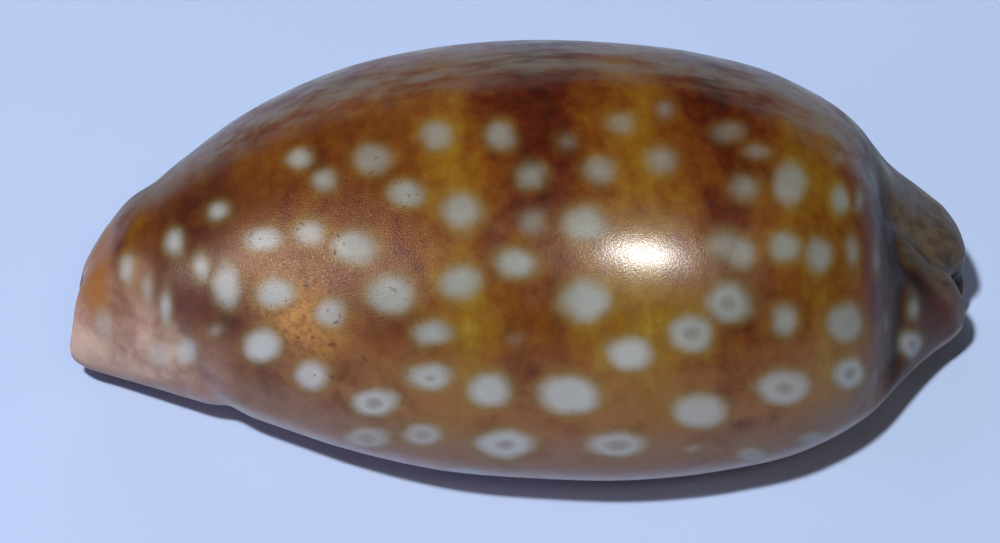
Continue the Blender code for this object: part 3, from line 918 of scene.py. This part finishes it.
def polish(tree, grown, clouds, surface):
    """Gloss all over, in more and less polished patches, duller where it is scuffed and at both
    ends."""
    rough = {0: clouds["polish"]} | dict(enumerate(POLISH_ROUGHNESS, 1))
    rough = add(tree, "ShaderNodeMapRange", rough, interpolation_type="SMOOTHSTEP").outputs[0]
    for name in ("scuffed", "dull"):
        rough = {0: grown[name], 1: WORN_ROUGHER, 2: rough}
        rough = add(tree, "ShaderNodeMath", rough, operation="MULTIPLY_ADD").outputs[0]
    tree.links.new(rough, surface.inputs["Roughness"])
    surface.inputs["IOR"].default_value = ENAMEL_IOR
    surface.inputs["Specular IOR Level"].default_value = ENAMEL_SPECULAR
    coat = {0: grown["dull"], 1: -COAT_LESS, 2: COAT}
    coat = add(tree, "ShaderNodeMath", coat, operation="MULTIPLY_ADD").outputs[0]
    tree.links.new(coat, surface.inputs["Coat Weight"])
    surface.inputs["Coat Roughness"].default_value = COAT_ROUGHNESS


def relief(tree, grown, clouds):
    """Shallow growth ripple, and fine pits, deeper where the enamel is worn."""
    ripple = {"Strength": RIPPLE_SHOWS, "Distance": RIPPLE_HIGH * MM, "Height": clouds["ripple"]}
    ripple = add(tree, "ShaderNodeBump", ripple).outputs[0]
    pits = {0: clouds["pits"]} | dict(enumerate(PIT_HEIGHT, 1))
    pits = add(tree, "ShaderNodeMapRange", pits, interpolation_type="SMOOTHSTEP").outputs[0]
    shows = {0: grown["scuffed"], 1: PITS_SHOW_WORN, 2: PITS_SHOW}
    shows = add(tree, "ShaderNodeMath", shows, operation="MULTIPLY_ADD").outputs[0]
    pitted = {"Strength": shows, "Distance": PITS_DEEP * MM, "Height": pits, "Normal": ripple}
    return add(tree, "ShaderNodeBump", pitted).outputs[0]


def enamel(names):
    """Cowrie enamel: aragonite polished by the animal's mantle, in thin clear coats over brown
    pigment. That gives a wet gloss with a soft halo, broken up where the surface is worn. It
    reads the named values that the shell's points carry."""
    material = bpy.data.materials.new("Spotted brown cowrie enamel")
    material.use_nodes = True
    tree = material.node_tree
    surface = tree.nodes["Principled BSDF"]
    place = add(tree, "ShaderNodeTexCoord").outputs["Object"]
    to_mm = {"Vector": place, "Scale": (1 / MM, 1 / MM, 1 / MM)}
    mm = add(tree, "ShaderNodeMapping", to_mm).outputs[0]
    grown = {
        name: add(tree, "ShaderNodeAttribute", attribute_name=name).outputs["Fac"] for name in names
    }
    clouds = {}
    for name, size, detail, rough, stretch in CLOUDS:
        at = add(tree, "ShaderNodeMapping", {"Vector": mm, "Scale": stretch}).outputs[0]
        cloud = {"Vector": at, "Scale": 1 / size, "Detail": detail, "Roughness": rough}
        clouds[name] = add(tree, "ShaderNodeTexNoise", cloud).outputs["Fac"]

    colour = coated(tree, mm, grown, ground(tree, grown, clouds))
    colour = spotted(tree, grown, clouds, colour)
    colour = underside(tree, grown, clouds, colour)
    tree.links.new(colour, surface.inputs["Base Color"])
    polish(tree, grown, clouds, surface)
    raised = relief(tree, grown, clouds)
    tree.links.new(raised, surface.inputs["Normal"])
    tree.links.new(raised, surface.inputs["Coat Normal"])
    return material


def shell():
    """The cowrie shell with its fine surface, in place of the plain solid."""
    points, faces, values = grown_shell()
    low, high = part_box("cowrie_shell")
    points = in_box(points, np.array(low) / MM, np.array(high) / MM)
    mesh = bpy.data.meshes.new("cowrie_shell_surface")
    mesh.from_pydata((points * MM).tolist(), [], faces)
    mesh.shade_smooth()
    piece = bpy.data.objects.new("cowrie_shell_surface", mesh)
    bpy.context.scene.collection.objects.link(piece)

    normals = np.empty(len(points) * 3)
    mesh.vertices.foreach_get("normal", normals)
    normals = normals.reshape(-1, 3)
    spots = photo_spots(BVHTree.FromPolygons([Vector(p) for p in points], faces))
    far_spots(points, normals, not_shown(points, normals, values), spots)
    fields = grown_fields(points, values, spots)
    for name, field in fields.items():
        layer = mesh.attributes.new(name, "FLOAT", "POINT")
        layer.data.foreach_set("value", np.asarray(field, dtype=np.float32))
    mesh.materials.append(enamel(sorted(fields)))
    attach(piece, "root")
    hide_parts("cowrie_shell")


TABLE_HALF = 750.0  # millimetres
TABLE_ROUGHNESS = 0.85


def table():
    """Plain card that the shell lies on: matt, so it shows the soft shadow and no reflection."""
    material = bpy.data.materials.new("Matt pale blue card")
    material.use_nodes = True
    surface = material.node_tree.nodes["Principled BSDF"]
    surface.inputs["Base Color"].default_value = linear("#a9bddf")
    surface.inputs["Roughness"].default_value = TABLE_ROUGHNESS
    mesh = bpy.data.meshes.new("pale_table")
    half = TABLE_HALF * MM
    corners = [(-half, -half, 0), (half, -half, 0), (half, half, 0), (-half, half, 0)]
    mesh.from_pydata(corners, [], [(0, 1, 2, 3)])
    mesh.materials.append(material)
    piece = bpy.data.objects.new("pale_table", mesh)
    bpy.context.scene.collection.objects.link(piece)


# Lamps: name, direction that it shines from, millimetres away, wide and high, watts, colour, and
# whether it is there for the sheen alone or for the light alone
LAMPS = (
    ("key_lamp", (-0.23, -0.36, 0.90), 900, 66, 56, 9.5, "#fdfbfa", "light"),
    ("small_lamp", (0.22, -0.55, 0.81), 700, 112, 100, 9.0, "#fffdfa", "sheen"),
    ("back_fill", (-0.12, 0.85, 0.5), 800, 500, 350, 1.1, "#eef3ff", "light"),
    ("left_fill", (-0.9, -0.25, 0.35), 800, 300, 200, 0.8, "#b9a8ff", "light"),
    ("left_window", (-0.82, -0.33, 0.45), 800, 420, 360, 10.0, "#ffe6da", "sheen"),
)
SKY_LIGHT = 0.05  # faint light from all round, so that the shadow stays deep
BACKDROP_SEEN = 0.8  # how bright the backdrop behind the table looks


def lights():
    """Soft lamps round the shell, and a pale room that gives little light but is seen bright."""
    world = bpy.data.worlds.new("Pale room")
    world.use_nodes = True
    tree = world.node_tree
    sky = tree.nodes["Background"]
    sky.inputs["Color"].default_value = linear("#b7c7f3")
    seen = add(tree, "ShaderNodeLightPath").outputs["Is Camera Ray"]
    strength = {0: seen, 1: BACKDROP_SEEN - SKY_LIGHT, 2: SKY_LIGHT}
    strength = add(tree, "ShaderNodeMath", strength, operation="MULTIPLY_ADD").outputs[0]
    tree.links.new(strength, sky.inputs["Strength"])
    bpy.context.scene.world = world
    for name, towards, far, wide, high, watts, colour, gives in LAMPS:
        lamp = bpy.data.lights.new(name, "AREA")
        lamp.shape = "RECTANGLE"
        lamp.size, lamp.size_y = wide * MM, high * MM
        lamp.energy = watts
        lamp.color = linear(colour)[:3]
        piece = bpy.data.objects.new(name, lamp)
        way = Vector(towards).normalized()
        piece.location = way * far * MM
        piece.rotation_euler = way.to_track_quat("Z", "Y").to_euler()
        piece.visible_glossy = gives == "sheen"
        piece.visible_diffuse = gives == "light"
        bpy.context.scene.collection.objects.link(piece)
    bpy.context.scene.view_settings.view_transform = "Standard"


SENSOR_WIDE = 36.0  # millimetres
NEAREST_SEEN = 10.0


def camera():
    """The camera that took the photograph, placed and turned as VIEW values say."""
    data = bpy.data.cameras.new("photo_view")
    data.sensor_width = SENSOR_WIDE
    data.lens = SENSOR_WIDE * PX_PER_MM * VIEW_FAR / PHOTO_WIDE
    data.clip_start = NEAREST_SEEN * MM
    piece = bpy.data.objects.new("photo_view", data)
    piece.location = Vector(camera_place()) * MM
    _, _, back = view_axes()
    piece.rotation_euler = Vector(back).to_track_quat("Z", "Y").to_euler()
    bpy.context.scene.collection.objects.link(piece)
    bpy.context.scene.camera = piece


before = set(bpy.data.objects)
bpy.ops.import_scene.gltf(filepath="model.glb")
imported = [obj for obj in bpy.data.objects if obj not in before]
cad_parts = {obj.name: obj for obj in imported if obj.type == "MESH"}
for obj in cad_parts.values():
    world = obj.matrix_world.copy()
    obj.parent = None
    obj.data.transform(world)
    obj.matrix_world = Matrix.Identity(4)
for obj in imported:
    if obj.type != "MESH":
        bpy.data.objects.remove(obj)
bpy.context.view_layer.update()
shell()
table()
lights()
camera()
